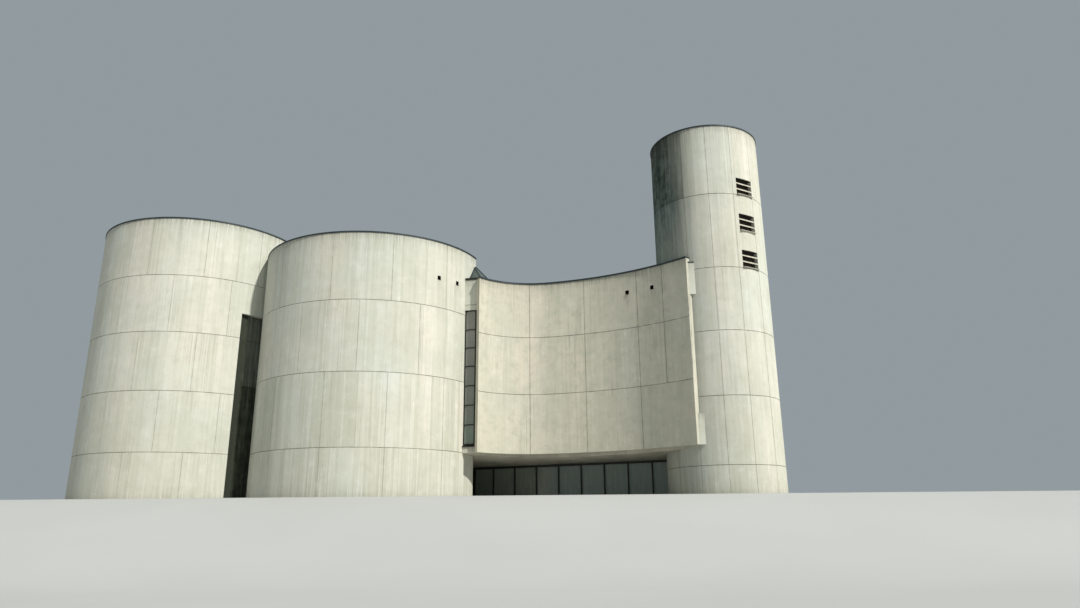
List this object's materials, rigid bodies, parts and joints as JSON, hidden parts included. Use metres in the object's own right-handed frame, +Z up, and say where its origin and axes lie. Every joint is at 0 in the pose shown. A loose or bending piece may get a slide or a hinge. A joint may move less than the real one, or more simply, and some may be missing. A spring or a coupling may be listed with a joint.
{
  "type": "modern church building",
  "caption": "Modern church of curved board-marked concrete walls with glazed slots, a floating concave wall over the entrance and a round tower.",
  "frame": {"origin": "middle of the rectangle that the building stands on, at ground level", "axes": "+Z up, the entrance front faces -Y, +X to the right along the longest side"},
  "size_m": [39.743, 21.63, 19.96],
  "materials": {
    "concrete": "board-marked, weathered",
    "slab_concrete": "smooth cast",
    "roofing": "gravel",
    "coping_metal": "satin",
    "sheet_metal": "weathered, standing seams",
    "frame_metal": "satin",
    "louvre_metal": "matt",
    "glass": "dark"
  },
  "bodies": {
    "root": {"entrance_front_frame": "frame_metal", "entrance_glass": "glass", "entrance_side_wall": "concrete", "entrance_soffit": "slab_concrete", "floor_slab": "slab_concrete", "hall_roof": "roofing", "hall_wall_coping": "coping_metal", "hall_wall_left": "concrete", "hall_wall_middle_left": "concrete", "hall_wall_middle_right": "concrete", "hall_wall_right": "concrete", "left_drum_coping": "coping_metal", "left_drum_roof": "roofing", "left_drum_upper_wall": "concrete", "left_drum_wall_front": "concrete", "left_drum_wall_rear": "concrete", "left_drum_wall_side": "concrete", "left_recess_panel": "concrete", "main_drum_coping": "coping_metal", "main_drum_roof": "roofing", "main_drum_wall_front": "concrete", "main_drum_wall_left": "concrete", "main_drum_wall_right": "concrete", "rear_coping": "coping_metal", "rear_left_wall_back": "concrete", "rear_left_wall_side": "concrete", "rear_middle_wall": "concrete", "rear_right_wall_back": "concrete", "rear_right_wall_corner": "concrete", "rear_right_wall_side": "concrete", "rear_slot_glass_left": "glass", "rear_slot_glass_right": "glass", "recess_apron": "concrete", "recess_glass": "glass", "recess_lintel": "concrete", "recess_roof": "sheet_metal", "recess_sill": "coping_metal", "recess_window_frame": "frame_metal", "tower_coping": "coping_metal", "tower_louvre_lower": "louvre_metal", "tower_louvre_middle": "louvre_metal", "tower_louvre_upper": "louvre_metal", "tower_roof": "roofing", "tower_slot_glass": "glass", "tower_slot_lower_block": "concrete", "tower_slot_upper_block": "concrete", "tower_wall_front": "concrete", "tower_wall_left": "concrete", "tower_wall_rear": "concrete", "tower_wall_right": "concrete"}
  },
  "joints": []
}
